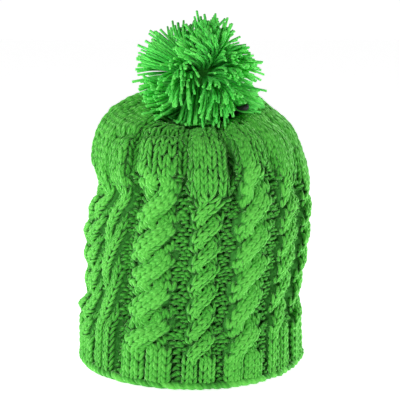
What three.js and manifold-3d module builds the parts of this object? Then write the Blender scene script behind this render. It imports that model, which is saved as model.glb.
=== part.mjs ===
// A cable-knit beanie with a pompom, in millimetres. +Z is up, the front faces -Y, and the hem stands on
// Z = 0. Heights along the fabric are counted in courses, the knitted rows, from the cast-on edge to the
// gather. Places round the fabric are counted in repeats: a whole number is the middle of a cable, and a
// half is the middle of a purl valley.
import * as THREE from "three";
import { LoftGeometry } from "three/addons/geometries/LoftGeometry.js";
import { mergeVertices } from "three/addons/utils/BufferGeometryUtils.js";
import Module from "manifold-3d";

// Knitted wall: thickness of the plain fabric, and how far a rope cable stands above the valleys beside it.
const WALL = 5;
const CABLE_HEIGHT = 8;
const BAND_TOP = 35;
const CREST_COURSE = 50;
const GATHER_COURSE = 58;

// Rope cable, as shares of one repeat: sideways swing and half width of each of its two strands, and by how
// much a strand flares where it crosses the other. Its path is a wave that is nearly a straight zigzag.
const STRAND_SWING = 0.21;
const STRAND_STRAIGHT = 0.8;
const STRAND_HALF = 0.22;
const STRAND_FLARE = 0.6;

// A strand's height as a share of the cable's: what is left of it under the other strand, how steeply it
// dives there, how full its section is, and how early it rises and dives, in radians of its wave.
const STRAND_LOW = 0.2;
const STRAND_DIVE = 0.65;
const STRAND_ROUND = 0.85;
const STRAND_TUCK = 0.2;

// Below the rib top the strands are straight ribs, side by side, up to the course where they would lie so
// anyway. Rings of the mesh climb over each cable with its strands, by a share of the way between crossings.
const RIB_TOP = 5.5;
const STRAND_SLANT = 0.3;

// Hem: the fabric's flat foot on the table, measured inwards from the outline of the section.
const FOOT_OUTER = 2.5;
const FOOT_INNER = 8.5;
const HEM_COURSE = 1;

// Crown folds: how wide a fold is as a share of the repeat, the course where folds start to fade, how the
// panels between them puff out, and the depth at which every valley of the band runs on into a fold, for so
// many courses.
const FOLD_HALF = 0.24;
const FOLD_FADE = 39;
const PANEL_PUFF = 1.2;
const BAND_FOLD = 7;
const BAND_FOLD_COURSES = 5;
const VALLEY_LEAN_DEG = 5;

// Crease across the left front of the crown, under the pompom, which climbs in courses for every repeat.
const CREASE = { from: 0.3, to: 2.6, course: 43, climb: 1.8, half: 1.5, depth: 4.5 };

// Outline of the fabric, from above: reach from the axis to the left, right, front and back at each height,
// and how far the front dips below that height, where the pompom has slumped forward onto the crown.
const SECTIONS = table(
  ["course", "height", "left", "right", "front", "back", "dip"],
  [
    [0, 0, 95, 90.5, 92, 90, 0],
    [2, 8, 97, 92.5, 94, 92, 0],
    [10, 43, 97.3, 92.5, 93, 92, 0],
    [12.5, 53, 92.5, 89.5, 91, 90, 0],
    [16, 69, 91, 91.5, 90, 90, 0],
    [20, 86, 91, 94.5, 90.5, 90.5, 0],
    [26, 111, 90.6, 97.5, 91, 91, 0],
    [32, 137, 83.5, 97.8, 89, 90, 0],
    [BAND_TOP, 150, 77.8, 95.5, 87.5, 89, 0],
    [38.5, 170, 82, 91, 86.5, 88, 0],
    [43, 195, 77, 80.5, 79, 80, 3],
    [46, 210, 66.5, 64, 70, 68, 10],
    [48.5, 218, 53, 55, 60, 55, 16],
    [CREST_COURSE, 220, 45, 51, 52, 46, 18],
    [52, 217, 36, 44, 42, 37, 17],
    [55, 207, 22, 31, 27, 24, 11],
    [GATHER_COURSE, 199, 4, 12, 9, 7, 4],
  ],
);

// Cables round the hat: angle from the front towards +X, width beside that of the others, courses from one
// crossing to the next, the course of a crossing, and the course where the cable stops. The first six face
// the front, where the fabric is bunched; the others fill the rest of the way round evenly.
const FRONT_CABLES = table(
  ["angle", "width", "spacing", "crossing", "top"],
  [
    [-66, 1, 5, 3, 35.5],
    [-49, 0.8, 9, 6, 36.5],
    [-21.5, 1.6, 6, 4.4, 38.5],
    [5, 1, 4.3, 3.9, 35],
    [28.8, 1.2, 6, 2.9, 39],
    [52.6, 0.9, 5, 2, 37],
  ],
);
const CABLE_COUNT = 15;
const CABLES = fillCables();

// Folds, one for each valley after a cable: depth in the crown, sideways drift in degrees at the top, and
// extra depth of the valley in the band.
const FOLDS = table(
  ["depth", "drift", "bandDepth"],
  [
    [1, -2, 0],
    [12, 0, 6],
    [8, 0, 1],
    [18, 5, 1],
    [3, 2, 0],
    [2, 2, 1],
    [4, 0, 0],
    [3, -3, 1],
    [6, 2, 0],
    [3, 4, 2],
    [3, -2, 0],
    [7, 0, 1],
    [3, 3, 0],
    [4, -3, 1],
    [2, 0, 0],
  ],
);

// Pompom: its middle, its reach, the round head, and the locks of cut yarn that stand out of the head.
const POMPOM_CENTRE = new THREE.Vector3(5, -12, 238.5);
const POMPOM_RADIUS = 47.5;
const HEAD_RADIUS = 36;
const HEAD_DETAIL = 1;
const LOCK_COUNT = 18;
const LOCK_SIDES = 5;
const LOCK_VARIETY = 0.05;
const LOCK_PROFILE = table(
  ["reach", "radius"],
  [
    [0.5, 9],
    [0.85, 18],
    [1, 6],
  ],
);
const POMPOM_CLEARANCE = 1;
const SEAT_SIDES = 30;

// Black elastic tie: one loop that runs out of the gather, over the crest and back, at the right front.
const TIE_RADIUS = 2.6;
const TIE_CLEARANCE = 0.6;
const TIE_ANGLE_DEG = 54;
const TIE_STEPS = 30;
const TIE_SIDES = 6;
const TIE_PATH = table(
  ["course", "side"],
  [
    [55.3, -3.6],
    [53.6, -3.9],
    [51.6, -3.9],
    [50.2, -3.6],
    [49.3, 0],
    [50.2, 3.6],
    [51.6, 3.9],
    [53.6, 3.9],
    [55.3, 3.6],
    [55.9, 0],
  ],
);

const wasm = await Module();
wasm.setup();

// Rows of bare numbers as objects with named columns.
function table(columns, rows) {
  return rows.map((row) => Object.fromEntries(columns.map((name, i) => [name, row[i]])));
}

function fillCables() {
  const first = FRONT_CABLES[0].angle;
  const last = FRONT_CABLES.at(-1).angle;
  const hidden = CABLE_COUNT - FRONT_CABLES.length;
  const step = (360 + first - last) / (hidden + 1);
  const back = Array.from({ length: hidden }, (_, i) => ({
    angle: last + step * (i + 1),
    width: 1,
    spacing: 5 + (i % 2),
    crossing: 1 + (i % 4),
    top: BAND_TOP + (i % 3),
  }));
  return [...FRONT_CABLES, ...back].map((cable) => ({ ...cable, start: firstTwist(cable) }));
}

// Course above the ribs where a cable's strands lie side by side, half way from one crossing to the next.
function firstTwist({ spacing, crossing }) {
  const beside = crossing - spacing / 2;
  return beside + spacing * Math.ceil((RIB_TOP - beside) / spacing);
}

function smoothstep(from, to, value) {
  const t = THREE.MathUtils.clamp((value - from) / (to - from), 0, 1);
  return t * t * (3 - 2 * t);
}

// One column of the section table at any course, on a smooth curve through the rows.
function sectionAt(column, course) {
  const last = SECTIONS.length - 1;
  const above = SECTIONS.findIndex((row) => row.course > course);
  const i = above < 0 ? last - 1 : Math.max(above - 1, 0);
  const slope = (k) => {
    const a = SECTIONS[Math.max(k - 1, 0)];
    const b = SECTIONS[Math.min(k + 1, last)];
    return (b[column] - a[column]) / (b.course - a.course);
  };
  const span = SECTIONS[i + 1].course - SECTIONS[i].course;
  const t = (course - SECTIONS[i].course) / span;
  const t2 = t * t;
  const t3 = t2 * t;
  return (
    (2 * t3 - 3 * t2 + 1) * SECTIONS[i][column] +
    (t3 - 2 * t2 + t) * span * slope(i) +
    (3 * t2 - 2 * t3) * SECTIONS[i + 1][column] +
    (t3 - t2) * span * slope(i + 1)
  );
}

// Angle round the hat of a place on the fabric. Cables lean a little, and crown folds drift as they rise.
function angleAt(place, course) {
  const lean = VALLEY_LEAN_DEG * (Math.min(course, BAND_TOP) / BAND_TOP - 0.6);
  const rise = smoothstep(BAND_TOP - 6, BAND_TOP + 5, course);
  const cable = Math.floor(place);
  const t = place - cable;
  const left = CABLES[cable % CABLE_COUNT];
  const right = CABLES[(cable + 1) % CABLE_COUNT];
  const gap = right.angle - left.angle + (cable + 1 >= CABLE_COUNT ? 360 : 0);
  const valley = (gap * left.width) / (left.width + right.width) + FOLDS[cable % CABLE_COUNT].drift * rise;
  const angle = left.angle + (t < 0.5 ? valley * 2 * t : valley + (gap - valley) * (2 * t - 1));
  return THREE.MathUtils.degToRad(angle + lean);
}

// Point of the smooth outline, before cables and folds.
function outlinePoint(angle, course) {
  const across = Math.sin(angle);
  const ahead = Math.cos(angle);
  return new THREE.Vector3(
    across * sectionAt(across < 0 ? "left" : "right", course),
    -ahead * sectionAt(ahead > 0 ? "front" : "back", course),
    sectionAt("height", course) - sectionAt("dip", course) * Math.max(0, ahead) ** 1.5,
  );
}

function outlineNormal(angle, course) {
  const step = 0.02;
  const low = Math.max(course - step, 0);
  const around = outlinePoint(angle + step, course).sub(outlinePoint(angle - step, course));
  const along = outlinePoint(angle, course + step).sub(outlinePoint(angle, low));
  return around.cross(along).normalize();
}

// Height of the rope cable over the valley floor: two strands that cross over each other, rising rightwards.
function cableHeight(place, course) {
  const cable = CABLES[Math.round(place) % CABLE_COUNT];
  const t = place - Math.round(place);
  const turn = (Math.PI * (Math.max(course, cable.start) - cable.crossing)) / cable.spacing + Math.PI / 2;
  const tuck = STRAND_TUCK * smoothstep(cable.start, cable.start + cable.spacing / 2, course);
  const heights = [turn, turn + Math.PI].map((phase) => {
    const side = (-STRAND_SWING * Math.asin(STRAND_STRAIGHT * Math.cos(phase))) / Math.asin(STRAND_STRAIGHT);
    const half = STRAND_HALF * (1 + STRAND_FLARE * Math.sin(phase) ** 2);
    const across = (t - side) / half;
    const lift = 0.5 + 0.5 * Math.sin(phase + tuck);
    const share = STRAND_LOW + (1 - STRAND_LOW) * lift ** STRAND_DIVE;
    return Math.abs(across) < 1 ? share * (1 - across ** 2) ** STRAND_ROUND : 0;
  });
  return CABLE_HEIGHT * Math.max(...heights);
}

// Course where the cable pattern stops at a place: valleys run from one cable's course to the next one's.
function patternTop(place) {
  const left = CABLES[Math.floor(place) % CABLE_COUNT].top;
  const right = CABLES[Math.floor(place + 1) % CABLE_COUNT].top;
  return left + (right - left) * smoothstep(0.35, 0.65, place % 1);
}

// Share of the cable pattern: it grows out of the hem and stops where the plain crown starts.
function bandShare(place, course) {
  const top = patternTop(place);
  return (0.6 + 0.4 * smoothstep(2, 8, course)) * (1 - smoothstep(top - 1.5, top + 1, course));
}

// Depth of the crease across the crown at a place and course.
function creaseDepth(place, course) {
  const { from, to, half, depth, climb } = CREASE;
  const ends = smoothstep(from, from + 0.5, place) * (1 - smoothstep(to - 0.5, to, place));
  const away = Math.abs(course - CREASE.course - climb * (place - from)) / half;
  return depth * ends * (1 - smoothstep(0, 1, away));
}

// Depth of the folds at a place, less the puff of the crown's panel between two folds.
function foldDepth(place, course) {
  const groove = 1 - smoothstep(0, 1, Math.abs((place % 1) - 0.5) / FOLD_HALF);
  const { depth, bandDepth } = FOLDS[Math.floor(place) % CABLE_COUNT];
  const top = patternTop(place);
  const own = smoothstep(top, top + BAND_FOLD_COURSES, course);
  const rise = smoothstep(top - 3, top + 2, course);
  const crownShare = rise * (1 - 0.8 * smoothstep(FOLD_FADE, CREST_COURSE, course));
  const bandPart = bandDepth * smoothstep(0, 4, course) * (1 - rise);
  const crownPart = (BAND_FOLD + (depth - BAND_FOLD) * own) * crownShare;
  const puff = PANEL_PUFF * crownShare * Math.cos(Math.PI * place) ** 2;
  return groove * (bandPart + crownPart) - puff + creaseDepth(place, course);
}

// How far the fabric's outer face lies from the outline at a place and course.
function relief(place, course) {
  const share = bandShare(place, course);
  return share * (cableHeight(place, course) - CABLE_HEIGHT) - foldDepth(place, course);
}

function fabricPoint(place, course, offset) {
  const angle = angleAt(place, course);
  return outlinePoint(angle, course).addScaledVector(outlineNormal(angle, course), offset);
}

// Rings up the band, and places of the columns in every repeat: over the cable, at its two edges, and in the
// middle of the valley.
const BAND_RINGS = 22;
const COLUMN_SHARES = [0.07, 0.22, 0.36, 0.5, 0.64, 0.78, 0.93];
const PLACES = CABLES.flatMap((_, cable) => COLUMN_SHARES.map((share) => cable + share));

// Course of a ring where it passes a place: over each cable the ring follows the slant of the strands.
function slantedCourse(place, course) {
  const { spacing } = CABLES[Math.round(place) % CABLE_COUNT];
  const share = smoothstep(RIB_TOP, RIB_TOP + 5, course) * (1 - smoothstep(BAND_TOP - 7, BAND_TOP, course));
  return course + STRAND_SLANT * spacing * share * Math.sin(2 * Math.PI * place);
}

// The knitted fabric: rings down the inside from the gather, round the hem, and back up the outside.
function knitBody() {
  const outerRing = (course) =>
    PLACES.map((place) => {
      const at = slantedCourse(place, course);
      return fabricPoint(place, at, relief(place, at));
    });
  const innerRing = (course) =>
    PLACES.map((place) => {
      const depth = bandShare(place, course) * CABLE_HEIGHT + foldDepth(place, course) + WALL;
      return fabricPoint(place, course, -depth);
    });
  const footRing = (inset) => PLACES.map((place) => fabricPoint(place, 0, -inset).setZ(0));
  const step = (BAND_TOP + 1 - RIB_TOP) / (BAND_RINGS - 1);
  const bandCourses = Array.from({ length: BAND_RINGS }, (_, i) => RIB_TOP + step * i);

  const lining = [GATHER_COURSE, 53, 49, 45, 41, 37.5, 35, 32, 24, 12.5, HEM_COURSE + 1].map(innerRing);
  const band = [HEM_COURSE, 3.2, ...bandCourses].map(outerRing);
  const crown = [37.5, 40, 42.2, 44, 46, 48, 50, 53.5, GATHER_COURSE].map(outerRing);
  const rings = [...lining, footRing(FOOT_INNER), footRing(FOOT_OUTER), ...band, ...crown];
  return new LoftGeometry([...rings, rings[0]]);
}

// A closed geometry as a solid that can be joined and cut, and back again.
function solidOf(geometry) {
  const bare = geometry.index ? geometry.toNonIndexed() : geometry;
  const positions = new THREE.BufferGeometry().setAttribute("position", bare.getAttribute("position"));
  const merged = mergeVertices(positions, 1e-3);
  const triVerts = new Uint32Array(merged.index.array);
  const vertProperties = merged.attributes.position.array;
  return new wasm.Manifold(new wasm.Mesh({ numProp: 3, vertProperties, triVerts }));
}

function geometryOf(solid) {
  const { vertProperties, triVerts } = solid.getMesh();
  const geometry = new THREE.BufferGeometry();
  geometry.setAttribute("position", new THREE.BufferAttribute(vertProperties, 3));
  geometry.setIndex(new THREE.BufferAttribute(triVerts, 1));
  geometry.computeVertexNormals();
  return geometry;
}

// The largest body of a cut solid, without the slivers that the cut leaves beside it.
function largestBody(solid) {
  return solid.decompose().reduce((largest, body) => (body.volume() > largest.volume() ? body : largest));
}

// Middles of the locks, spread evenly over the ball.
function lockDirections() {
  const golden = Math.PI * (3 - Math.sqrt(5));
  return Array.from({ length: LOCK_COUNT }, (_, i) => {
    const up = 1 - (2 * i + 1) / LOCK_COUNT;
    const across = Math.sqrt(1 - up * up);
    return new THREE.Vector3(across * Math.cos(golden * i), across * Math.sin(golden * i), up);
  });
}

// One lock of cut yarn: narrow at its root in the head, wide where it opens, and drawn in to a blunt tip.
function lock(direction, index) {
  const turn = new THREE.Quaternion().setFromUnitVectors(new THREE.Vector3(0, 0, 1), direction);
  const length = POMPOM_RADIUS * (1 + LOCK_VARIETY * Math.sin(5 * index));
  const sections = LOCK_PROFILE.map(({ reach, radius }) =>
    Array.from({ length: LOCK_SIDES }, (_, i) => {
      const angle = (2 * Math.PI * i) / LOCK_SIDES + index;
      const point = new THREE.Vector3(radius * Math.cos(angle), radius * Math.sin(angle), reach * length);
      return point.applyQuaternion(turn).add(POMPOM_CENTRE);
    }),
  );
  return new LoftGeometry(sections, { capStart: true, capEnd: true });
}

// The top of the crown, with the hollow that the pompom is pressed into, a little larger than the fabric.
function crownSeat() {
  const angles = Array.from({ length: SEAT_SIDES }, (_, i) => (2 * Math.PI * i) / SEAT_SIDES);
  const offset = PANEL_PUFF + POMPOM_CLEARANCE;
  const ring = (course) =>
    angles.map((angle) => outlinePoint(angle, course).addScaledVector(outlineNormal(angle, course), offset));
  const brim = ring(CREST_COURSE).map((point) => point.setZ(POMPOM_CENTRE.z));
  const capped = { capStart: true, capEnd: true };
  const dome = new LoftGeometry([41, 43, 45, 46.5, 48, 49, CREST_COURSE].map(ring), capped);
  const crater = [GATHER_COURSE, 56.5, 55, 53, 51.5, CREST_COURSE].map(ring);
  const hollow = new LoftGeometry([...crater, brim], capped);
  return solidOf(dome).subtract(solidOf(hollow));
}

// Cord along the path of the tie, at the given radius.
function tieCord(radius) {
  const middle = THREE.MathUtils.degToRad(TIE_ANGLE_DEG);
  const points = TIE_PATH.map(({ course, side }) => {
    const angle = middle + side / outlinePoint(middle, course).setZ(0).length();
    const offset = PANEL_PUFF + TIE_RADIUS + TIE_CLEARANCE;
    return outlinePoint(angle, course).addScaledVector(outlineNormal(angle, course), offset);
  });
  const route = new THREE.CatmullRomCurve3(points, true);
  return new THREE.TubeGeometry(route, TIE_STEPS, radius, TIE_SIDES, true);
}

// The pompom: locks fused to the head, with the crown and the tie pressed into its underside.
function pompom() {
  const head = new THREE.IcosahedronGeometry(HEAD_RADIUS, HEAD_DETAIL);
  head.translate(POMPOM_CENTRE.x, POMPOM_CENTRE.y, POMPOM_CENTRE.z);
  const locks = lockDirections().map((direction, index) => solidOf(lock(direction, index)));
  const ball = locks.reduce((whole, next) => whole.add(next), solidOf(head));
  const channel = solidOf(tieCord(TIE_RADIUS + TIE_CLEARANCE));
  return geometryOf(largestBody(ball.subtract(crownSeat()).subtract(channel)));
}

const MATERIALS = {
  knit: new THREE.MeshStandardMaterial({ color: 0x3f9e36, roughness: 0.9, metalness: 0 }),
  pompom: new THREE.MeshStandardMaterial({ color: 0x2fae3a, roughness: 0.85, metalness: 0 }),
  tie: new THREE.MeshStandardMaterial({ color: 0x0c0a0b, roughness: 0.8, metalness: 0 }),
};

const beanie = new THREE.Group();
for (const [name, geometry, material] of [
  ["knit_body", knitBody(), MATERIALS.knit],
  ["pompom", pompom(), MATERIALS.pompom],
  ["pompom_tie", tieCord(TIE_RADIUS), MATERIALS.tie],
]) {
  const mesh = new THREE.Mesh(geometry, material);
  mesh.name = name;
  beanie.add(mesh);
}

export default beanie;
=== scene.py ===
# A chunky cable-knit beanie with a cut-yarn pompom, stitch by stitch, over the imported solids.
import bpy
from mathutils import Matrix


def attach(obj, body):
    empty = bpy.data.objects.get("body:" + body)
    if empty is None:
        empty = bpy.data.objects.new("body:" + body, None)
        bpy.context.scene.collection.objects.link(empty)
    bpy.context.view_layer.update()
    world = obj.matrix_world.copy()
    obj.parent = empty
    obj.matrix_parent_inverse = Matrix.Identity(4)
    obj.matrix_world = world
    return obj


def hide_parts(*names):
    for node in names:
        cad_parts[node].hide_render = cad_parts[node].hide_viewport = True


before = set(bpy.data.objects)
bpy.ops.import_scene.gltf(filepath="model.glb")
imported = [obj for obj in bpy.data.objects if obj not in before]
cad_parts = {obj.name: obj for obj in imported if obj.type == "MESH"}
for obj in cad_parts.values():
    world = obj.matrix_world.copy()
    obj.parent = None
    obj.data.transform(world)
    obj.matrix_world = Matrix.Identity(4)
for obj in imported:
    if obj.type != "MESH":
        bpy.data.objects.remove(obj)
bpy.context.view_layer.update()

import math
import bmesh
import bpy
import numpy as np
from mathutils import Vector

mm = 0.001
stitchSeed = 8951
stitchSides = 5
rng = np.random.default_rng(stitchSeed)
scene = bpy.context.scene

# the fabric's form, in millimetres; courses are knitted rows, places count cable repeats round the hat
hatShape = {
    "columns": ["course", "height", "left", "right", "front", "back", "dip"],
    "sections": [
        [0, 0, 95, 90.5, 92, 90, 0],
        [2, 8, 97, 92.5, 94, 92, 0],
        [10, 43, 97.3, 92.5, 93, 92, 0],
        [12.5, 53, 92.5, 89.5, 91, 90, 0],
        [16, 69, 91, 91.5, 90, 90, 0],
        [20, 86, 91, 94.5, 90.5, 90.5, 0],
        [26, 111, 90.6, 97.5, 91, 91, 0],
        [32, 137, 83.5, 97.8, 89, 90, 0],
        [35, 150, 77.8, 95.5, 87.5, 89, 0],
        [38.5, 170, 82, 91, 86.5, 88, 0],
        [43, 195, 77, 80.5, 79, 80, 3],
        [46, 210, 66.5, 64, 70, 68, 10],
        [48.5, 218, 53, 55, 60, 55, 16],
        [50, 220, 45, 51, 52, 46, 18],
        [52, 217, 36, 44, 42, 37, 17],
        [55, 207, 22, 31, 27, 24, 11],
        [58, 199, 4, 12, 9, 7, 4],
    ],
    "cableColumns": ["angle", "width", "spacing", "crossing", "top"],
    "frontCables": [[-66, 1, 5, 3, 35.5], [-49, 0.8, 9, 6, 36.5], [-21.5, 1.6, 6, 4.4, 38.5],
                    [5, 1, 4.3, 3.9, 35], [28.8, 1.2, 6, 2.9, 39], [52.6, 0.9, 5, 2, 37]],
    "cableCount": 15,
    "foldColumns": ["depth", "drift", "bandDepth"],
    "folds": [[1, -2, 0], [12, 0, 6], [8, 0, 1], [18, 5, 1], [3, 2, 0], [2, 2, 1], [4, 0, 0], [3, -3, 1],
              [6, 2, 0], [3, 4, 2], [3, -2, 0], [7, 0, 1], [3, 3, 0], [4, -3, 1], [2, 0, 0]],
    "crease": {"from": 0.3, "to": 2.6, "course": 43, "climb": 1.8, "half": 1.5, "depth": 4.5, "fade": 0.5},
    "bandTop": 35,
    "gather": 58,
    "wall": 5,
    "cableHeight": 8,
    "courseHeight": 4.3,
    "repeatWidth": 39,
    "strandSwing": 0.21,
    "strandStraight": 0.8,
    "strandTuck": 0.45,
    "strandHalf": 0.22,
    "strandFlare": 0.3,
    "strandLow": 0.2,
    "strandDive": 0.65,
    "strandSquare": 4,
    "strandRound": 0.6,
    "ribTop": 5.5,
    "foldHalf": 0.24,
    "foldFade": 39,
    "crest": 50,
    "panelPuff": 1.2,
    "bandFold": 7,
    "bandFoldCourses": 5,
    "lean": 5,
    "leanMiddle": 0.6,
    "driftRise": [-6, 5],
    "dipPower": 1.5,
    "valleyRun": [0.35, 0.65],
    "hemShare": 0.6,
    "hemFade": [2, 8],
    "bandFade": [-1.5, 1],
    "crownRise": [-3, 2],
    "crestFade": 0.8,
    "hemFold": 4,
}

sectionRows = np.array(hatShape["sections"], float)
foldRows = np.array(hatShape["folds"], float)


# the cables in view, then the hidden ones, evenly spaced and a little varied
def allCables():
    rows = [list(map(float, row)) for row in hatShape["frontCables"]]
    hidden = hatShape["cableCount"] - len(rows)
    first, last = rows[0][0], rows[-1][0]
    step = (360 + first - last) / (hidden + 1)
    for i in range(hidden):
        rows.append([last + step * (i + 1), 1, 5 + i % 2, 1 + i % 4, hatShape["bandTop"] + i % 3])
    return np.array(rows)


cableRows = allCables()


def cableValue(column, cable):
    return cableRows[cable % hatShape["cableCount"], hatShape["cableColumns"].index(column)]


def foldValue(column, cable):
    return foldRows[cable % hatShape["cableCount"], hatShape["foldColumns"].index(column)]


def smoothStep(low, high, value):
    t = np.clip((value - low) / (high - low), 0, 1)
    return t * t * (3 - 2 * t)


# one column of the section table at any course, on a smooth curve through the rows
def sectionAt(column, course):
    xs = sectionRows[:, 0]
    ys = sectionRows[:, hatShape["columns"].index(column)]
    slopes = np.gradient(ys, xs)
    slopes[1:-1] = (ys[2:] - ys[:-2]) / (xs[2:] - xs[:-2])
    i = np.clip(np.searchsorted(xs, course, side="right") - 1, 0, len(xs) - 2)
    span = xs[i + 1] - xs[i]
    t = (course - xs[i]) / span
    t2 = t * t
    t3 = t2 * t
    return ((2 * t3 - 3 * t2 + 1) * ys[i] + (t3 - 2 * t2 + t) * span * slopes[i]
            + (3 * t2 - 2 * t3) * ys[i + 1] + (t3 - t2) * span * slopes[i + 1])


# angle round the hat: cables lean a little, and the crown's folds drift as they rise
def angleAt(place, course):
    count = hatShape["cableCount"]
    top = hatShape["bandTop"]
    lean = hatShape["lean"] * (np.minimum(course, top) / top - hatShape["leanMiddle"])
    low, high = hatShape["driftRise"]
    rise = smoothStep(top + low, top + high, course)
    cable = np.floor(place).astype(int)
    t = place - cable
    here = cableValue("angle", cable) + 360 * (cable // count)
    gap = cableValue("angle", cable + 1) + 360 * ((cable + 1) // count) - here
    share = cableValue("width", cable) / (cableValue("width", cable) + cableValue("width", cable + 1))
    valley = gap * share + foldValue("drift", cable) * rise
    angle = here + np.where(t < 0.5, valley * 2 * t, valley + (gap - valley) * (2 * t - 1))
    return np.radians(angle + lean)


def outlinePoint(angle, course):
    across = np.sin(angle)
    ahead = np.cos(angle)
    x = across * np.where(across < 0, sectionAt("left", course), sectionAt("right", course))
    y = -ahead * np.where(ahead > 0, sectionAt("front", course), sectionAt("back", course))
    z = sectionAt("height", course) - sectionAt("dip", course) * np.maximum(0, ahead) ** hatShape["dipPower"]
    return np.stack([x, y, z], -1)


def unit(v):
    return v / np.maximum(np.linalg.norm(v, axis=-1, keepdims=True), 1e-9)


def outlineNormal(angle, course):
    step = 0.02
    around = outlinePoint(angle + step, course) - outlinePoint(angle - step, course)
    along = outlinePoint(angle, course + step) - outlinePoint(angle, np.maximum(course - step, 0))
    return unit(np.cross(around, along))


def fabricPoint(place, course, offset):
    angle = angleAt(place, course)
    return outlinePoint(angle, course) + outlineNormal(angle, course) * offset[..., None]


# course where the cable pattern stops: valleys run from one cable's course to the next one's
def patternTop(place):
    cable = np.floor(place).astype(int)
    left, right = cableValue("top", cable), cableValue("top", cable + 1)
    return left + (right - left) * smoothStep(*hatShape["valleyRun"], place - cable)


def bandShare(place, course):
    top = patternTop(place)
    low, high = hatShape["bandFade"]
    hem = hatShape["hemShare"]
    rise = hem + (1 - hem) * smoothStep(*hatShape["hemFade"], course)
    return rise * (1 - smoothStep(top + low, top + high, course))


# sideways place, lift and half width of one of a cable's two strands, which are straight ribs near the hem
def strandPath(cable, strand, course):
    crossing, spacing = cableValue("crossing", cable), cableValue("spacing", cable)
    beside = crossing - spacing / 2
    start = beside + spacing * np.ceil((hatShape["ribTop"] - beside) / spacing)
    phase = np.pi * ((np.maximum(course, start) - crossing) / spacing + 0.5 + strand)
    straight = hatShape["strandStraight"]
    side = -hatShape["strandSwing"] * np.arcsin(straight * np.cos(phase)) / math.asin(straight)
    half = hatShape["strandHalf"] * (1 + hatShape["strandFlare"] * np.sin(phase) ** 2)
    tuck = hatShape["strandTuck"] * smoothStep(start, start + spacing / 2, course)
    return side, np.sin(phase + tuck), half


def strandHeight(cable, strand, t, course):
    side, lift, half = strandPath(cable, strand, course)
    across = (t - side) / half
    low = hatShape["strandLow"]
    share = low + (1 - low) * np.clip(0.5 + 0.5 * lift, 0, 1) ** hatShape["strandDive"]
    section = np.clip(1 - across ** hatShape["strandSquare"], 0, 1) ** hatShape["strandRound"]
    return hatShape["cableHeight"] * share * section


def cableHeight(place, course):
    cable = np.rint(place).astype(int)
    t = place - cable
    return np.maximum(strandHeight(cable, 0, t, course), strandHeight(cable, 1, t, course))


def creaseDepth(place, course):
    crease = hatShape["crease"]
    around = np.mod(place, hatShape["cableCount"])
    ends = (smoothStep(crease["from"], crease["from"] + crease["fade"], around)
            * (1 - smoothStep(crease["to"] - crease["fade"], crease["to"], around)))
    away = np.abs(course - crease["course"] - crease["climb"] * (around - crease["from"])) / crease["half"]
    return crease["depth"] * ends * (1 - smoothStep(0, 1, away))


def foldDepth(place, course):
    groove = 1 - smoothStep(0, 1, np.abs(np.mod(place, 1) - 0.5) / hatShape["foldHalf"])
    cable = np.floor(place).astype(int)
    top = patternTop(place)
    own = smoothStep(top, top + hatShape["bandFoldCourses"], course)
    low, high = hatShape["crownRise"]
    rise = smoothStep(top + low, top + high, course)
    fade = hatShape["crestFade"] * smoothStep(hatShape["foldFade"], hatShape["crest"], course)
    crownShare = rise * (1 - fade)
    bandPart = foldValue("bandDepth", cable) * smoothStep(0, hatShape["hemFold"], course) * (1 - rise)
    crownPart = (hatShape["bandFold"] + (foldValue("depth", cable) - hatShape["bandFold"]) * own) * crownShare
    puff = hatShape["panelPuff"] * crownShare * np.cos(np.pi * place) ** 2
    return groove * (bandPart + crownPart) - puff + creaseDepth(place, course)


def plainOffset(place, course):
    return -bandShare(place, course) * hatShape["cableHeight"] - foldDepth(place, course)


def reliefOffset(place, course):
    return plainOffset(place, course) + bandShare(place, course) * cableHeight(place, course)


# points on the surface that an offset function gives, with the surface's own normal there
def surfaceFrames(place, course, offsetAt, lift):
    step = 0.01
    base = fabricPoint(place, course, offsetAt(place, course))
    across = fabricPoint(place + step, course, offsetAt(place + step, course)) - base
    along = fabricPoint(place, course + step, offsetAt(place, course + step)) - base
    normal = unit(np.cross(across, along))
    return base + normal * lift[..., None], normal


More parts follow.
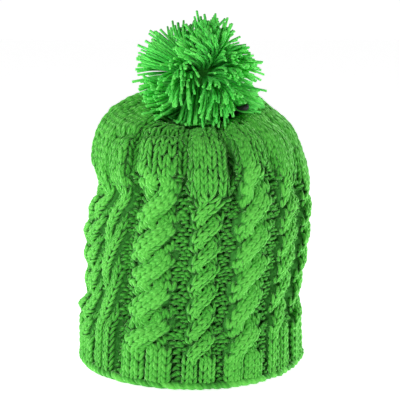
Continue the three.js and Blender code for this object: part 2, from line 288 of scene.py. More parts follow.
# many short lengths of yarn as one joined mesh: a ring of vertices round every centre, capped at both ends
def yarnMesh(name, centre, normal, radius, sides=6, flat=0.92, toneAndShade=None):
    count, rings, _ = centre.shape
    tangent = unit(np.gradient(centre, axis=1))
    normal = unit(normal - tangent * np.sum(normal * tangent, -1, keepdims=True))
    side = np.cross(tangent, normal)
    turn = np.arange(sides) * 2 * np.pi / sides
    ring = (side[:, :, None, :] * np.cos(turn)[None, None, :, None]
            + normal[:, :, None, :] * (flat * np.sin(turn))[None, None, :, None])
    points = (centre[:, :, None, :] + ring * radius[:, :, None, None]) * mm

    start = (np.arange(count) * rings * sides)[:, None, None]
    row = (np.arange(rings - 1) * sides)[None, :, None]
    col = np.arange(sides)[None, None, :]
    nextCol = (col + 1) % sides
    quads = np.stack([start + row + col, start + row + nextCol,
                      start + row + sides + nextCol, start + row + sides + col], -1).reshape(-1, 4)
    ends = np.arange(count)[:, None] * rings * sides
    lowCaps = ends + np.arange(sides)[None, ::-1]
    highCaps = ends + (rings - 1) * sides + np.arange(sides)[None, :]
    loops = np.concatenate([quads.ravel(), lowCaps.ravel(), highCaps.ravel()])
    sizes = np.concatenate([np.full(len(quads), 4), np.full(2 * count, sides)])
    starts = np.concatenate([[0], np.cumsum(sizes)[:-1]])

    mesh = bpy.data.meshes.new(name)
    mesh.vertices.add(count * rings * sides)
    mesh.vertices.foreach_set("co", points.reshape(-1).astype(np.float32))
    mesh.loops.add(len(loops))
    mesh.loops.foreach_set("vertex_index", loops.astype(np.int32))
    mesh.polygons.add(len(sizes))
    mesh.polygons.foreach_set("loop_start", starts.astype(np.int32))
    mesh.polygons.foreach_set("loop_total", sizes.astype(np.int32))
    mesh.polygons.foreach_set("use_smooth", np.ones(len(sizes), bool))
    mesh.update(calc_edges=True)

    # yarn map: u runs round the yarn, v along it in centimetres
    length = np.concatenate([np.zeros((count, 1)),
                             np.cumsum(np.linalg.norm(np.diff(centre, axis=1), axis=-1), 1)], 1) / 10
    around = np.stack([np.arange(sides), np.arange(1, sides + 1)]) / sides
    quadU = np.stack([around[0], around[1], around[1], around[0]], -1)
    quadU = np.broadcast_to(quadU[None, None], (count, rings - 1, sides, 4))
    low, high = length[:, :-1, None], length[:, 1:, None]
    quadV = np.broadcast_to(np.stack([low, low, high, high], -1), (count, rings - 1, sides, 4))
    capU = np.broadcast_to(around[0], (count, sides))
    uv = np.concatenate([
        np.stack([quadU, quadV], -1).reshape(-1, 2),
        np.stack([capU, np.broadcast_to(length[:, :1], (count, sides))], -1).reshape(-1, 2),
        np.stack([capU, np.broadcast_to(length[:, -1:], (count, sides))], -1).reshape(-1, 2),
    ])
    layer = mesh.uv_layers.new(name="yarnMap")
    layer.data.foreach_set("uv", uv.reshape(-1).astype(np.float32))

    def pointValues(label, values):
        spread = np.broadcast_to(values, (count, rings, sides)).reshape(-1).astype(np.float32)
        mesh.attributes.new(label, "FLOAT", "POINT").data.foreach_set("value", spread)

    toneAndShade = rng.uniform(0, 1, count) if toneAndShade is None else toneAndShade
    pointValues("along", np.linspace(0, 1, rings)[None, :, None])
    pointValues("toneAndShade", toneAndShade[:, None, None])
    piece = bpy.data.objects.new(name, mesh)
    scene.collection.objects.link(piece)
    return piece


# materials
def newMaterial(name):
    material = bpy.data.materials.new(name)
    material.use_nodes = True
    nodes = material.node_tree.nodes
    nodes.clear()
    shader = nodes.new("ShaderNodeBsdfPrincipled")
    output = nodes.new("ShaderNodeOutputMaterial")
    material.node_tree.links.new(shader.outputs["BSDF"], output.inputs["Surface"])
    return material, nodes, material.node_tree.links, shader


def mathNode(nodes, links, operation, first, second=None):
    node = nodes.new("ShaderNodeMath")
    node.operation = operation
    for socket, value in zip(node.inputs, (first, second)):
        if value is None:
            continue
        if isinstance(value, (int, float)):
            socket.default_value = value
        else:
            links.new(value, socket)
    return node.outputs[0]


yarnFinish = {"fibreDetail": 3, "specular": 0.25, "sheenRoughness": 0.4, "fibreBump": 0.6,
              "bumpDepth": 0.0006}


# plied yarn: twisted plies from the yarn map, fine fibres over them, and a tone of its own for every stitch,
# with painted shade in the ply grooves, on the yarn's flanks and underside, at its buried ends and on
# stitches that lie in shade, and painted light on its outward crest and towards strand tips
def yarnMaterial(name, look):
    material, nodes, links, shader = newMaterial(name)
    uvMap = nodes.new("ShaderNodeUVMap")
    uvMap.uv_map = "yarnMap"
    split = nodes.new("ShaderNodeSeparateXYZ")
    links.new(uvMap.outputs[0], split.inputs[0])
    turns = mathNode(nodes, links, "MULTIPLY", split.outputs["X"], look["plies"])
    twist = mathNode(nodes, links, "MULTIPLY", split.outputs["Y"], look["twistPerCm"])
    phase = mathNode(nodes, links, "MULTIPLY", mathNode(nodes, links, "ADD", turns, twist), 2 * math.pi)
    ply = mathNode(nodes, links, "MULTIPLY_ADD", mathNode(nodes, links, "SINE", phase), 0.5)
    ply.node.inputs[2].default_value = 0.5
    # painted light and shade round the yarn: lighter where it faces out, darker on its flanks and underside
    circle = mathNode(nodes, links, "MULTIPLY", split.outputs["X"], 2 * math.pi)
    crest = mathNode(nodes, links, "SINE", circle)

    coords = nodes.new("ShaderNodeTexCoord")
    fibre = nodes.new("ShaderNodeTexNoise")
    fibre.inputs["Scale"].default_value = look["fibreScale"]
    fibre.inputs["Detail"].default_value = yarnFinish["fibreDetail"]
    links.new(coords.outputs["Object"], fibre.inputs["Vector"])
    toneAndShade = nodes.new("ShaderNodeAttribute")
    toneAndShade.attribute_name = "toneAndShade"
    along = nodes.new("ShaderNodeAttribute")
    along.attribute_name = "along"

    def share(value, label):
        return mathNode(nodes, links, "MULTIPLY", value, look[label])

    # 0 at the middle of a length of yarn, 1 at its buried ends, which get painted shade
    fromMiddle = mathNode(nodes, links, "SUBTRACT", along.outputs["Fac"], 0.5)
    away = mathNode(nodes, links, "MULTIPLY", fromMiddle, 2)
    buriedShade = mathNode(nodes, links, "MULTIPLY", away, away)
    # the ramp's input: painted shade in the ply grooves, fibre noise, each stitch's tone with its painted
    # light and shade, painted light towards tips and on the outward crest, minus painted shade at buried ends
    amount = share(ply, "plyShadeShare")
    for value, label in ((fibre.outputs[0], "fibreShare"), (toneAndShade.outputs["Fac"], "toneAndShadeShare"),
                         (along.outputs["Fac"], "tipLightShare"), (crest, "crestLightShare")):
        amount = mathNode(nodes, links, "ADD", amount, share(value, label))
    amount = mathNode(nodes, links, "SUBTRACT", amount, share(buriedShade, "endShadeShare"))
    ramp = nodes.new("ShaderNodeValToRGB")
    links.new(amount, ramp.inputs[0])
    stops = look["colours"]
    while len(ramp.color_ramp.elements) < len(stops):
        ramp.color_ramp.elements.new(0.5)
    for element, (position, colour) in zip(ramp.color_ramp.elements, stops):
        element.position = position
        element.color = (*colour, 1)
    links.new(ramp.outputs["Color"], shader.inputs["Base Color"])
    shader.inputs["Roughness"].default_value = look["roughness"]
    shader.inputs["Specular IOR Level"].default_value = yarnFinish["specular"]
    shader.inputs["Sheen Weight"].default_value = look["sheen"]
    shader.inputs["Sheen Roughness"].default_value = yarnFinish["sheenRoughness"]
    shader.inputs["Sheen Tint"].default_value = (*look["sheenTint"], 1)

    fuzz = mathNode(nodes, links, "MULTIPLY", fibre.outputs[0], yarnFinish["fibreBump"])
    height = mathNode(nodes, links, "ADD", ply, fuzz)
    bump = nodes.new("ShaderNodeBump")
    bump.inputs["Strength"].default_value = look["bump"]
    bump.inputs["Distance"].default_value = yarnFinish["bumpDepth"]
    links.new(height, bump.inputs["Height"])
    links.new(bump.outputs["Normal"], shader.inputs["Normal"])
    return material


# knit yarn: its ramp runs from a deep green for painted shade to a light green for painted light
knitLook = {
    "plies": 3, "twistPerCm": 2.2, "fibreScale": 1400,
    "plyShadeShare": 0.22, "fibreShare": 0.4, "toneAndShadeShare": 0.5, "tipLightShare": 0.0, "crestLightShare": 0.33,
    "endShadeShare": 0.48,
    "colours": [(0.25, (0.01, 0.11, 0.007)), (0.7, (0.058, 0.39, 0.034)), (1.0, (0.13, 0.58, 0.072))],
    "roughness": 0.85, "sheen": 0.9, "sheenTint": (0.42, 1.0, 0.32), "bump": 0.5,
}
# pompom yarn: painted light towards the strands' tips and painted shade at their roots inside the pompom
strandLook = {
    "plies": 3, "twistPerCm": 2.0, "fibreScale": 1800,
    "plyShadeShare": 0.2, "fibreShare": 0.2, "toneAndShadeShare": 0.3, "tipLightShare": 0.4, "crestLightShare": 0.0, "endShadeShare": 0.0,
    "colours": [(0.1, (0.01, 0.24, 0.024)), (0.5, (0.045, 0.56, 0.06)), (0.95, (0.17, 0.84, 0.13))],
    "roughness": 0.75, "sheen": 0.3, "sheenTint": (0.4, 1.0, 0.4), "bump": 0.4,
}
knitYarn = yarnMaterial("knitYarn", knitLook)
pompomYarn = yarnMaterial("pompomYarn", strandLook)
print("yarn materials made")


def dress(piece, material, node):
    piece.data.materials.append(material)
    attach(piece, "root")
    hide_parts(node)
    return piece


# the wall of fabric behind the stitches, which closes every gap between them and is the hat's inside
wallLook = {"columns": 210, "outerRows": 116, "innerRows": 44, "sink": 2.7, "hemRows": 4,
            "firstCourse": 0.8, "hemDrop": 2.4, "weld": 0.02}


def knitWall():
    top = hatShape["gather"]
    low = wallLook["firstCourse"]
    hemEnd = wallLook["outerRows"] + wallLook["hemRows"]
    rows = hemEnd + wallLook["innerRows"]
    bm = bmesh.new()
    bmesh.ops.create_grid(bm, x_segments=wallLook["columns"], y_segments=rows, size=0.5)
    grid = np.array([v.co for v in bm.verts])
    place = (grid[:, 0] + 0.5) * hatShape["cableCount"]
    path = (grid[:, 1] + 0.5) * rows
    outer = path <= wallLook["outerRows"]
    inner = path >= hemEnd
    downCourse = top - (top - low) * path / wallLook["outerRows"]
    upCourse = low + (top - low) * (path - hemEnd) / wallLook["innerRows"]
    turn = np.clip((path - wallLook["outerRows"]) / wallLook["hemRows"], 0, 1)
    course = np.where(outer, downCourse, np.where(inner, upCourse, low))
    outerDepth = reliefOffset(place, course) - wallLook["sink"]
    innerDepth = plainOffset(place, course) - hatShape["wall"]
    depth = outerDepth + (innerDepth - outerDepth) * np.where(outer | (path > rows - 0.5), 0, turn)
    points = fabricPoint(place, course, depth)
    points[:, 2] -= np.where(outer | inner, 0, wallLook["hemDrop"] * np.sin(np.pi * turn))
    for vert, point in zip(bm.verts, points):
        vert.co = point * mm
    bmesh.ops.remove_doubles(bm, verts=bm.verts, dist=wallLook["weld"] * mm)
    bmesh.ops.recalc_face_normals(bm, faces=bm.faces)
    for face in bm.faces:
        face.smooth = True
    mesh = bpy.data.meshes.new("knit_wall")
    bm.to_mesh(mesh)
    bm.free()
    piece = bpy.data.objects.new("knit_wall", mesh)
    scene.collection.objects.link(piece)
    return piece


# the wall's green is painted darker than the yarn, as painted shade in the gaps between stitches; it also
# colours the pompom's core
wallMaterialLook = {"deepShade": (0.018, 0.16, 0.012), "lit": (0.05, 0.33, 0.034), "scale": 500, "roughness": 0.95,
                    "detail": 4, "stops": (0.3, 0.7), "bump": 0.8, "bumpDepth": 0.001}


def shadedWallMaterial():
    material, nodes, links, shader = newMaterial("shadedKnitBacking")
    coords = nodes.new("ShaderNodeTexCoord")
    noise = nodes.new("ShaderNodeTexNoise")
    noise.inputs["Scale"].default_value = wallMaterialLook["scale"]
    noise.inputs["Detail"].default_value = wallMaterialLook["detail"]
    links.new(coords.outputs["Object"], noise.inputs["Vector"])
    ramp = nodes.new("ShaderNodeValToRGB")
    for element, position, label in zip(ramp.color_ramp.elements, wallMaterialLook["stops"], ("deepShade", "lit")):
        element.position = position
        element.color = (*wallMaterialLook[label], 1)
    links.new(noise.outputs[0], ramp.inputs[0])
    links.new(ramp.outputs["Color"], shader.inputs["Base Color"])
    shader.inputs["Roughness"].default_value = wallMaterialLook["roughness"]
    bump = nodes.new("ShaderNodeBump")
    bump.inputs["Strength"].default_value = wallMaterialLook["bump"]
    bump.inputs["Distance"].default_value = wallMaterialLook["bumpDepth"]
    links.new(noise.outputs[0], bump.inputs["Height"])
    links.new(bump.outputs["Normal"], shader.inputs["Normal"])
    return material


dress(knitWall(), shadedWallMaterial(), "knit_body")
print("wall of fabric made")

# one knit stitch is a V of two plump legs: shares of the stitch's width and of its height
legShape = {"rings": 6, "foot": 0.08, "low": -0.55, "thin": 0.75, "ends": 0.1}


def legProfile(look):
    s = np.linspace(0, 1, legShape["rings"])
    out = legShape["foot"] + look["spread"] * s
    up = legShape["low"] + look["tall"] * s
    lift = look["swell"] * np.sin(np.pi * s) - look["sink"]
    thin, ends = legShape["thin"], legShape["ends"]
    girth = thin + (1 - thin) * np.sin(np.pi * (ends + (1 - 2 * ends) * s))
    return out, up, lift, girth


# a stitch's tone is partly its own, and partly painted light and shade for how open to the light it lies
looseShare = 0.35

# a crown zone is its first and last course, and its stitches to one cable repeat
crownLook = {"light": 0.3, "shade": 5, "yarnRadius": 1.55, "rowStep": 0.95, "spread": 0.34, "tall": 1.6,
             "sink": 1.3, "swell": 0.8, "above": 0.2, "topRadius": 0.75, "thinning": (48, 56),
             "wobble": 0.13, "sideways": 0.008, "uneven": 0.35, "girthVariety": 0.06,
             "zones": [(35.2, 44.5, 6), (44.5, 47, 5), (47, 49.5, 4), (49.5, 53, 3), (53, 57, 2)]}


def crownStitches():
    out, up, lift, girth = legProfile(crownLook)
    places, courses, widths = [], [], []
    for course in np.arange(crownLook["zones"][0][0], crownLook["zones"][-1][1], crownLook["rowStep"]):
        perRepeat = next(row[2] for row in crownLook["zones"] if course < row[1])
        columns = np.arange(perRepeat * hatShape["cableCount"])
        places.append((columns + 0.5) / perRepeat)
        courses.append(np.full(len(columns), course))
        widths.append(np.full(len(columns), 1 / perRepeat))
    place, course, width = [np.concatenate(rows) for rows in (places, courses, widths)]
    plain = course > patternTop(place) + crownLook["above"]
    count = int(plain.sum())
    place, course, width = [np.tile(values[plain], 2)[:, None] for values in (place, course, width)]
    side = np.repeat([-1, 1], count)[:, None]
    # painted shade: stitches deep in a fold get less painted light, and the crown's share of painted light is
    # smaller than the cables', which paints the whole crown darker
    raised = np.exp(-np.maximum(0, foldDepth(place[:, 0], course[:, 0])) / crownLook["shade"])
    toneAndShade = looseShare * np.tile(rng.uniform(0, 1, count), 2) + crownLook["light"] * raised
    wobble = np.tile(rng.normal(0, crownLook["wobble"], count), 2)[:, None]
    place = place + side * width * out + rng.normal(0, crownLook["sideways"], (2 * count, 1))
    course = course + (up + wobble) * crownLook["rowStep"]
    lifts = lift + rng.normal(0, crownLook["uneven"], (2 * count, 1))
    centre, normal = surfaceFrames(place, course, reliefOffset, lifts)
    thin = 1 - (1 - crownLook["topRadius"]) * smoothStep(*crownLook["thinning"], course)
    variety = rng.normal(1, crownLook["girthVariety"], (2 * count, 1))
    radius = crownLook["yarnRadius"] * girth * thin * variety
    return yarnMesh("crown_stitches", centre, normal, radius, sides=stitchSides, toneAndShade=toneAndShade)


crown = dress(crownStitches(), knitYarn, "knit_body")
print("crown stitches made", len(crown.data.polygons))

# rope cables: columns of knit stitches follow every strand, where the other strand doesn't cover it
cableLook = {"yarnRadius": 1.7, "gauge": 5.4, "fill": 0.88, "stitchHeight": 5.6, "firstCourse": 1.8,
             "groups": 3, "spread": 0.4, "tall": 1.5, "sink": 1.7, "swell": 1.2, "widthCourse": 20.0,
             "samples": 600, "runPast": (1, 2), "pastTop": 0.6, "footRoom": 0.5, "fewestColumns": 2,
             "girthRange": (0.75, 1.12), "wobble": 0.06, "uneven": 0.15, "girthVariety": 0.06}


# courses along a strand, and the strand's length in millimetres up to each of them
def strandLength(cable, strand):
    below, above = cableLook["runPast"]
    first, last = cableLook["firstCourse"] - below, cableValue("top", cable) + above
    course = np.linspace(first, last, cableLook["samples"])
    drift = strandPath(cable, strand, course)[0]
    steps = np.hypot(np.diff(course) * hatShape["courseHeight"], np.diff(drift) * cableWidth(cable))
    return course, np.concatenate([[0], np.cumsum(steps)])


def cableWidth(cable):
    course = cableLook["widthCourse"]
    ends = angleAt(cable + hatShape["cableCount"] + np.array([-0.5, 0.5]), np.full(2, course))
    return (ends[1] - ends[0]) * 0.5 * (sectionAt("front", course) + sectionAt("right", course))


# columns of stitches on a strand, from its width square to its slant
def strandColumns(cable):
    run = 2 * hatShape["strandSwing"] * cableWidth(cable)
    rise = cableValue("spacing", cable) * hatShape["courseHeight"]
    columns = max(cableLook["fewestColumns"], round(run * rise / math.hypot(run, rise) / cableLook["gauge"]))
    return np.arange(columns) - (columns - 1) / 2


# slant of a strand from the upright, to the right, in the plane of the fabric
def strandSlant(cable, strand, course):
    step = 0.2
    ahead = strandPath(cable, strand, course + step)[0]
    behind = strandPath(cable, strand, course - step)[0]
    return np.arctan2((ahead - behind) * cableWidth(cable), 2 * step * hatShape["courseHeight"])


def cableLegs(cable, strand):
    out, up, lift, girth = legProfile(cableLook)
    columns = strandColumns(cable)
    courseGrid, lengthGrid = strandLength(cable, strand)
    height = cableLook["stitchHeight"]
    first = np.interp(cableLook["firstCourse"], courseGrid, lengthGrid)
    last = np.interp(cableValue("top", cable) + cableLook["pastTop"], courseGrid, lengthGrid)
    column, length = [grid.ravel() for grid in np.meshgrid(
        columns, np.arange(first, last, height), indexing="ij")]

    # a stitch's own sideways is square to the strand, so it drops where the strand climbs
    def stitchSpot(columnAt, lengthAt, slant):
        course = np.interp(lengthAt, lengthGrid, courseGrid)
        side, _, half = strandPath(cable, strand, course)
        away = columnAt * 2 * half * cableLook["fill"] / len(columns) * np.cos(slant)
        t = side + away * np.cos(slant)
        return t, course - away * np.sin(slant) * cableWidth(cable) / hatShape["courseHeight"]

    slant = strandSlant(cable, strand, np.interp(length, lengthGrid, courseGrid))
    t, course = stitchSpot(column, length, slant)
    shown = strandHeight(cable, strand, t, course) > strandHeight(cable, 1 - strand, t, course)
    shown &= course > cableLook["firstCourse"] - cableLook["footRoom"]
    count = int(shown.sum())
    column, length, slant = [np.tile(values[shown], 2)[:, None] for values in (column, length, slant)]
    side = np.repeat([-1, 1], count)[:, None]
    wobble = np.tile(rng.normal(0, cableLook["wobble"], count), 2)[:, None]
    t, course = stitchSpot(column + side * out, length + (up + wobble) * height, slant)

    def strandOffset(placeAt, courseAt):
        raised = strandHeight(cable, strand, placeAt - cable, courseAt)
        return plainOffset(placeAt, courseAt) + bandShare(placeAt, courseAt) * raised

    lifts = lift + rng.normal(0, cableLook["uneven"], (2 * count, 1))
    centre, normal = surfaceFrames(cable + t, course, strandOffset, lifts)
    scale = np.clip(cableWidth(cable) / hatShape["repeatWidth"], *cableLook["girthRange"])
    variety = rng.normal(1, cableLook["girthVariety"], (2 * count, 1))
    radius = cableLook["yarnRadius"] * scale * girth * variety
    # painted shade: a strand's stitches are darker where it dives under the other strand and lighter where it
    # lies on top
    middle = legShape["rings"] // 2
    raised = strandHeight(cable, strand, t[:, middle], course[:, middle]) / hatShape["cableHeight"]
    toneAndShade = looseShare * np.tile(rng.uniform(0, 1, count), 2) + (1 - looseShare) * raised
    return centre, normal, radius, toneAndShade


def cableStitches(name, cables):
    legs = [cableLegs(cable, strand) for cable in cables for strand in (0, 1)]
    centre, normal, radius, toneAndShade = [np.concatenate(parts) for parts in zip(*legs)]
    return yarnMesh(name, centre, normal, radius, sides=stitchSides, toneAndShade=toneAndShade)


for group, cables in enumerate(np.array_split(np.arange(hatShape["cableCount"]), cableLook["groups"])):
    piece = dress(cableStitches(f"cable_stitches_{group + 1}", cables), knitYarn, "knit_body")
    print("cable stitches made", group + 1, len(piece.data.polygons))

# purl valleys between the cables: rows of little arched bars, left out where a cable covers them
purlLook = {"yarnRadius": 1.65, "columns": [-0.12, 0, 0.12], "barHalf": 0.065, "arch": 0.32, "sink": 0.6,
            "swell": 1.5, "firstCourse": 1.2, "rowStep": 0.68, "cover": 3.0, "rings": 5, "pastTop": 0.8,
            "above": 0.6, "stagger": 0.03, "sideways": 0.01, "archVariety": 0.4, "tilt": 0.08, "wobble": 0.05,
            "uneven": 0.3, "thin": 0.7, "girthVariety": 0.08}


def purlStitches():
    s = np.linspace(-1, 1, purlLook["rings"])
    bow = np.cos(s * np.pi / 2)
    highest = cableRows[:, -1].max() + purlLook["pastTop"]
    courses = np.arange(purlLook["firstCourse"], highest, purlLook["rowStep"])
    valley, column, row = [grid.ravel() for grid in np.meshgrid(
        np.arange(hatShape["cableCount"]) + 0.5, purlLook["columns"], np.arange(len(courses)), indexing="ij")]
    shown = cableHeight(valley + column, courses[row]) < purlLook["cover"]
    shown &= courses[row] < patternTop(valley + column) + purlLook["above"]
    valley, column, row = valley[shown], column[shown], row[shown]
    count = len(valley)
    shift = purlLook["stagger"] * (row % 2 * 2 - 1) + rng.normal(0, purlLook["sideways"], count)
    place = (valley + column + shift)[:, None] + purlLook["barHalf"] * s
    arch = purlLook["arch"] * (1 - s * s) * rng.normal(1, purlLook["archVariety"], (count, 1))
    tilt = rng.normal(0, purlLook["tilt"], (count, 1)) * s
    course = (courses[row] + rng.normal(0, purlLook["wobble"], count))[:, None] + arch + tilt
    lifts = purlLook["swell"] * bow - purlLook["sink"] + rng.normal(0, purlLook["uneven"], (count, 1))
    centre, normal = surfaceFrames(place, course, plainOffset, lifts)
    girth = purlLook["thin"] + (1 - purlLook["thin"]) * bow
    radius = purlLook["yarnRadius"] * girth * rng.normal(1, purlLook["girthVariety"], (count, 1))
    # purl bars get only their own tone and no share of painted light, which paints the valleys as in shade
    toneAndShade = looseShare * rng.uniform(0, 1, count)
    return yarnMesh("purl_stitches", centre, normal, radius, sides=stitchSides, toneAndShade=toneAndShade)


purls = dress(purlStitches(), knitYarn, "knit_body")
print("purl stitches made", len(purls.data.polygons))

# cast-on edge: slanted plump loops round the hem
hemLook = {"perRepeat": 5, "yarnRadius": 3.0, "slant": -0.16, "tall": 1.0, "middle": 1.0, "sink": 3.2,
           "swell": 1.9, "rings": 5, "uneven": 0.2, "thin": 0.75, "girthVariety": 0.05, "clearance": 0.1}


def hemStitches():
    s = np.linspace(-1, 1, hemLook["rings"])
    bow = np.cos(s * np.pi / 2)
    count = hemLook["perRepeat"] * hatShape["cableCount"]
    place = (np.arange(count) / hemLook["perRepeat"])[:, None] + hemLook["slant"] * s
    course = hemLook["middle"] + 0.5 * hemLook["tall"] * s + np.zeros((count, 1))
    lifts = hemLook["swell"] * bow - hemLook["sink"] + rng.normal(0, hemLook["uneven"], count)[:, None]
    centre, normal = surfaceFrames(place, course, lambda p, c: np.zeros_like(p), lifts)
    girth = hemLook["thin"] + (1 - hemLook["thin"]) * bow
    radius = hemLook["yarnRadius"] * girth * rng.normal(1, hemLook["girthVariety"], count)[:, None]
    centre[..., 2] = np.maximum(centre[..., 2], radius + hemLook["clearance"])
    return yarnMesh("hem_stitches", centre, normal, radius)


hem = dress(hemStitches(), knitYarn, "knit_body")
print("cast-on edge made", len(hem.data.polygons))

# pompom: locks of cut yarn round a bound middle; every lock fans out, and sweeps to one side
pompomLook = {
    "seed": 5, "centre": (5, -12, 238.5), "reach": 46, "root": 9, "locks": 18, "perLock": 62, "variety": 0.05,
    "waves": 5, "spread": 0.42, "gather": 0.05, "sweep": 0.5, "lockSweep": (0.3, 1),
    "strandSweep": (0.6, 1.2), "bow": 0.4, "ragged": 0.07, "yarnRadius": 1.0, "rings": 6,
    "girth": (0.85, 0.2), "girthVariety": 0.08, "hang": 0.36, "hangTop": 0.35, "droop": 12, "clearance": 2.4,
    "core": 17, "coreDetail": 4, "lump": 0.05, "lumpWaves": (900, 800, 850),
}

# rings and headings at which the crown's top is looked up, from the gather out, round a middle
crownGrid = {"courses": (58, 41), "rings": 60, "headings": 121, "middle": (4.0, -1.0)}


# height of the crown's top under a point, looked up along the outline's own rings
def crownTop(x, y):
    rings, headings = crownGrid["rings"], crownGrid["headings"]
    courses = np.linspace(*crownGrid["courses"], rings)
    angles = np.linspace(-np.pi, np.pi, headings)
    grid = outlinePoint(angles[:, None] + np.zeros((1, rings)), courses[None, :] + np.zeros((headings, 1)))
    middle = np.array(crownGrid["middle"])
    radii = np.linalg.norm(grid[..., :2] - middle, axis=-1)
    heading = np.arctan2(x - middle[0], -(y - middle[1]))
    nearest = np.rint((heading + np.pi) / (2 * np.pi) * (headings - 1)).astype(int)
    index = np.clip(nearest, 0, headings - 1)
    distance = np.hypot(x - middle[0], y - middle[1])
    height = np.empty_like(x)
    for k in range(headings):
        mine = index == k
        height[mine] = np.interp(distance[mine], radii[k], grid[k, :, 2], left=grid[k, 0, 2], right=0)
    return height


def fibonacciDirections(count):
    i = np.arange(count)
    up = 1 - (2 * i + 1) / count
    across = np.sqrt(1 - up * up)
    turn = np.pi * (3 - math.sqrt(5)) * i
    return np.stack([across * np.cos(turn), across * np.sin(turn), up], -1)


# the part of each vector that is square to its axis
def squareTo(vectors, axis):
    return vectors - axis * np.sum(vectors * axis, -1, keepdims=True)


def pompomStrands():
    draws = np.random.default_rng(pompomLook["seed"])
    locks = fibonacciDirections(pompomLook["locks"])
    sweeps = unit(squareTo(draws.normal(0, 1, locks.shape), locks))
    sweeps = sweeps * draws.uniform(*pompomLook["lockSweep"], (len(locks), 1))
    lock = np.repeat(np.arange(len(locks)), pompomLook["perLock"])
    count = len(lock)
    axis = locks[lock]
    scatter = unit(squareTo(draws.normal(0, 1, (count, 3)), axis)) * np.sqrt(draws.uniform(0, 1, (count, 1)))
    scatter = scatter * pompomLook["spread"]
    sweep = sweeps[lock] * pompomLook["sweep"] * draws.uniform(*pompomLook["strandSweep"], (count, 1))
    heading = unit(axis + scatter)
    front = np.clip(-heading[:, 1], 0, 1) * np.clip(pompomLook["hangTop"] - heading[:, 2], 0, 1)
    reach = pompomLook["reach"] * (1 + pompomLook["variety"] * np.sin(pompomLook["waves"] * lock))
    reach = reach * (1 + pompomLook["hang"] * front) * draws.normal(1, pompomLook["ragged"], count)
    s = np.linspace(0, 1, pompomLook["rings"])
    path = (axis[:, None, :] + scatter[:, None, :] * (1 - pompomLook["gather"] * s)[None, :, None]
            + sweep[:, None, :] * (s * s - pompomLook["bow"])[None, :, None])
    far = pompomLook["root"] + (reach[:, None] - pompomLook["root"]) * s
    centre = np.array(pompomLook["centre"]) + unit(path) * far[..., None]
    centre[..., 2] -= pompomLook["droop"] * front[:, None] * s ** 2
    thin, swell = pompomLook["girth"]
    variety = draws.normal(1, pompomLook["girthVariety"], (count, 1))
    radius = pompomLook["yarnRadius"] * (thin + swell * s) * variety
    lowest = crownTop(centre[..., 0], centre[..., 1]) + pompomLook["clearance"]
    centre[..., 2] = np.maximum(centre[..., 2], lowest + radius)
    normal = unit(draws.normal(0, 1, (count, 1, 3)) + np.zeros((1, len(s), 1)))
    toneAndShade = draws.uniform(0, 1, count)
    return yarnMesh("pompom_strands", centre, normal, radius, sides=stitchSides, flat=1.0, toneAndShade=toneAndShade)


# the pompom's core is a dark lumpy ball in the wall's painted-shade green, standing for the shade among the
# strands' roots
def pompomCore():
    bm = bmesh.new()
    bmesh.ops.create_icosphere(bm, subdivisions=pompomLook["coreDetail"], radius=pompomLook["core"] * mm)
    middle = Vector(pompomLook["centre"]) * mm
    for vert in bm.verts:
        bumps = [math.sin(along * wave) for along, wave in zip(vert.co, pompomLook["lumpWaves"])]
        vert.co = vert.co * (1 + pompomLook["lump"] * math.prod(bumps)) + middle
    for face in bm.faces:
        face.smooth = True
    mesh = bpy.data.meshes.new("pompom_core")
    bm.to_mesh(mesh)
    bm.free()
    piece = bpy.data.objects.new("pompom_core", mesh)
    scene.collection.objects.link(piece)
    return piece


strands = dress(pompomStrands(), pompomYarn, "pompom")
dress(pompomCore(), shadedWallMaterial(), "pompom")
print("pompom made", len(strands.data.polygons))

# black elastic tie under the pompom
tieLook = {"radius": 2.6, "angle": 54, "lift": 4.4, "bevel": 3, "order": 3, "steps": 8,
           "path": [(55.3, -3.6), (53.6, -3.9), (51.6, -3.9), (50.2, -3.6), (49.3, 0), (50.2, 3.6),
                    (51.6, 3.9), (53.6, 3.9), (55.3, 3.6), (55.9, 0)],
           "weaveScale": 420, "weaveDistortion": 2, "roughness": 0.7, "bump": 0.5, "bumpDepth": 0.0004,
           "colours": [(0.006, 0.006, 0.007), (0.028, 0.026, 0.03)]}


def pompomTie():
    middle = math.radians(tieLook["angle"])
    curve = bpy.data.curves.new("tieRoute", "CURVE")
    curve.dimensions = "3D"
    curve.bevel_depth = tieLook["radius"] * mm
    curve.bevel_resolution = tieLook["bevel"]
    spline = curve.splines.new("NURBS")
    spline.points.add(len(tieLook["path"]) - 1)
    for point, (course, side) in zip(spline.points, tieLook["path"]):
        at = np.array(float(course))
        radius = np.linalg.norm(outlinePoint(np.array(middle), at)[:2])
        angle = np.array(middle + side / radius)
        spot = outlinePoint(angle, at) + outlineNormal(angle, at) * tieLook["lift"]
        point.co = (*(spot * mm), 1)
    spline.use_cyclic_u = True
    spline.order_u = tieLook["order"]
    spline.resolution_u = tieLook["steps"]
    route = bpy.data.objects.new("tieRoute", curve)
    scene.collection.objects.link(route)
    bpy.context.view_layer.update()
    mesh = bpy.data.meshes.new_from_object(route.evaluated_get(bpy.context.evaluated_depsgraph_get()))
    mesh.name = "pompom_tie_cord"
    bpy.data.objects.remove(route)
    for polygon in mesh.polygons:
        polygon.use_smooth = True
    piece = bpy.data.objects.new("pompom_tie_cord", mesh)
    scene.collection.objects.link(piece)
    return piece


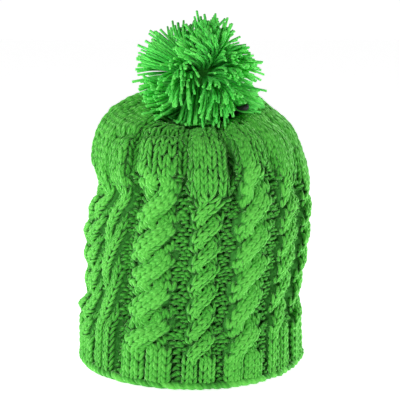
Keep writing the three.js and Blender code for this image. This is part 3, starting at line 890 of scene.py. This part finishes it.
def tieMaterial():
    material, nodes, links, shader = newMaterial("blackElastic")
    coords = nodes.new("ShaderNodeTexCoord")
    weave = nodes.new("ShaderNodeTexWave")
    weave.inputs["Scale"].default_value = tieLook["weaveScale"]
    weave.inputs["Distortion"].default_value = tieLook["weaveDistortion"]
    links.new(coords.outputs["Object"], weave.inputs["Vector"])
    ramp = nodes.new("ShaderNodeValToRGB")
    for element, colour in zip(ramp.color_ramp.elements, tieLook["colours"]):
        element.color = (*colour, 1)
    links.new(weave.outputs[0], ramp.inputs[0])
    links.new(ramp.outputs["Color"], shader.inputs["Base Color"])
    shader.inputs["Roughness"].default_value = tieLook["roughness"]
    bump = nodes.new("ShaderNodeBump")
    bump.inputs["Strength"].default_value = tieLook["bump"]
    bump.inputs["Distance"].default_value = tieLook["bumpDepth"]
    links.new(weave.outputs[0], bump.inputs["Height"])
    links.new(bump.outputs["Normal"], shader.inputs["Normal"])
    return material


dress(pompomTie(), tieMaterial(), "pompom_tie")
print("tie made")

# stage: pale floor, a surround that is bright behind the hat and dim overhead and behind the camera,
# and soft lights from both sides
stageLook = {"floorSize": 6.0, "floorColour": (0.9, 0.9, 0.9), "floorRoughness": 0.9, "floorGlow": 0.88,
             "floorDrop": 0.0005, "seen": 1.02, "bright": 0.85, "dim": 0.06, "zenith": 0.08,
             "spreadRange": (-0.45, 0.25), "ceilingRange": (0.1, 0.6)}


def stageFloor():
    bm = bmesh.new()
    bmesh.ops.create_grid(bm, x_segments=1, y_segments=1, size=stageLook["floorSize"] / 2)
    mesh = bpy.data.meshes.new("floor")
    bm.to_mesh(mesh)
    bm.free()
    floor = bpy.data.objects.new("floor", mesh)
    floor.location = (0, 0, -stageLook["floorDrop"])
    scene.collection.objects.link(floor)
    material, _, _, shader = newMaterial("paleFloor")
    shader.inputs["Base Color"].default_value = (*stageLook["floorColour"], 1)
    shader.inputs["Roughness"].default_value = stageLook["floorRoughness"]
    shader.inputs["Emission Color"].default_value = (1, 1, 1, 1)
    shader.inputs["Emission Strength"].default_value = stageLook["floorGlow"]
    mesh.materials.append(material)


def stageWorld():
    world = bpy.data.worlds.new("studio")
    scene.world = world
    world.use_nodes = True
    nodes, links = world.node_tree.nodes, world.node_tree.links
    background = nodes["Background"]
    coords = nodes.new("ShaderNodeTexCoord")
    split = nodes.new("ShaderNodeSeparateXYZ")
    links.new(coords.outputs["Generated"], split.inputs[0])

    def ranged(axis, span, low, high):
        node = nodes.new("ShaderNodeMapRange")
        for label, value in zip(("From Min", "From Max", "To Min", "To Max"), (*span, low, high)):
            node.inputs[label].default_value = value
        links.new(split.outputs[axis], node.inputs["Value"])
        return node.outputs[0]

    spread = ranged("Y", stageLook["spreadRange"], stageLook["dim"], stageLook["bright"])
    ceiling = ranged("Z", stageLook["ceilingRange"], 1, stageLook["zenith"])
    tent = mathNode(nodes, links, "MULTIPLY", spread, ceiling)
    seen = nodes.new("ShaderNodeLightPath")
    plain = mathNode(nodes, links, "MULTIPLY", seen.outputs["Is Camera Ray"], stageLook["seen"])
    strength = mathNode(nodes, links, "MAXIMUM", tent, plain)
    links.new(strength, background.inputs["Strength"])
    background.inputs["Color"].default_value = (1, 1, 1, 1)


lightAim = (0, 0, 0.14)
lightLook = [
    {"name": "keyPanel", "at": (-0.45, -0.75, 0.72), "size": 0.25, "power": 6},
    {"name": "leftPanel", "at": (-0.8, 0.05, 0.08), "size": 0.4, "power": 5},
    {"name": "rightPanel", "at": (0.85, -0.2, 0.05), "size": 0.3, "power": 4.5},
    {"name": "rimPanel", "at": (0.7, 0.4, 0.06), "size": 0.4, "power": 6},
]


def stageLights():
    for look in lightLook:
        light = bpy.data.lights.new(look["name"], "AREA")
        light.energy = look["power"]
        light.size = look["size"]
        lamp = bpy.data.objects.new(look["name"], light)
        lamp.location = look["at"]
        aim = Vector(lightAim) - lamp.location
        lamp.rotation_euler = aim.to_track_quat("-Z", "Y").to_euler()
        scene.collection.objects.link(lamp)


cameraLook = {"lookAt": (0.0054, 0, 0.134), "distance": 1.1, "elevation": 12, "focalPixels": 1325,
              "imageWidth": 400, "sensor": 36}


def stageCamera():
    data = bpy.data.cameras.new("camera")
    data.sensor_width = cameraLook["sensor"]
    data.lens = cameraLook["focalPixels"] / cameraLook["imageWidth"] * cameraLook["sensor"]
    camera = bpy.data.objects.new("camera", data)
    tilt = math.radians(cameraLook["elevation"])
    backward = Vector((0, -math.cos(tilt), math.sin(tilt)))
    camera.location = Vector(cameraLook["lookAt"]) + cameraLook["distance"] * backward
    camera.rotation_euler = (math.radians(90) - tilt, 0, 0)
    scene.collection.objects.link(camera)
    scene.camera = camera


stageFloor()
stageWorld()
stageLights()
stageCamera()
scene.view_settings.view_transform = "Standard"
print("stage set")
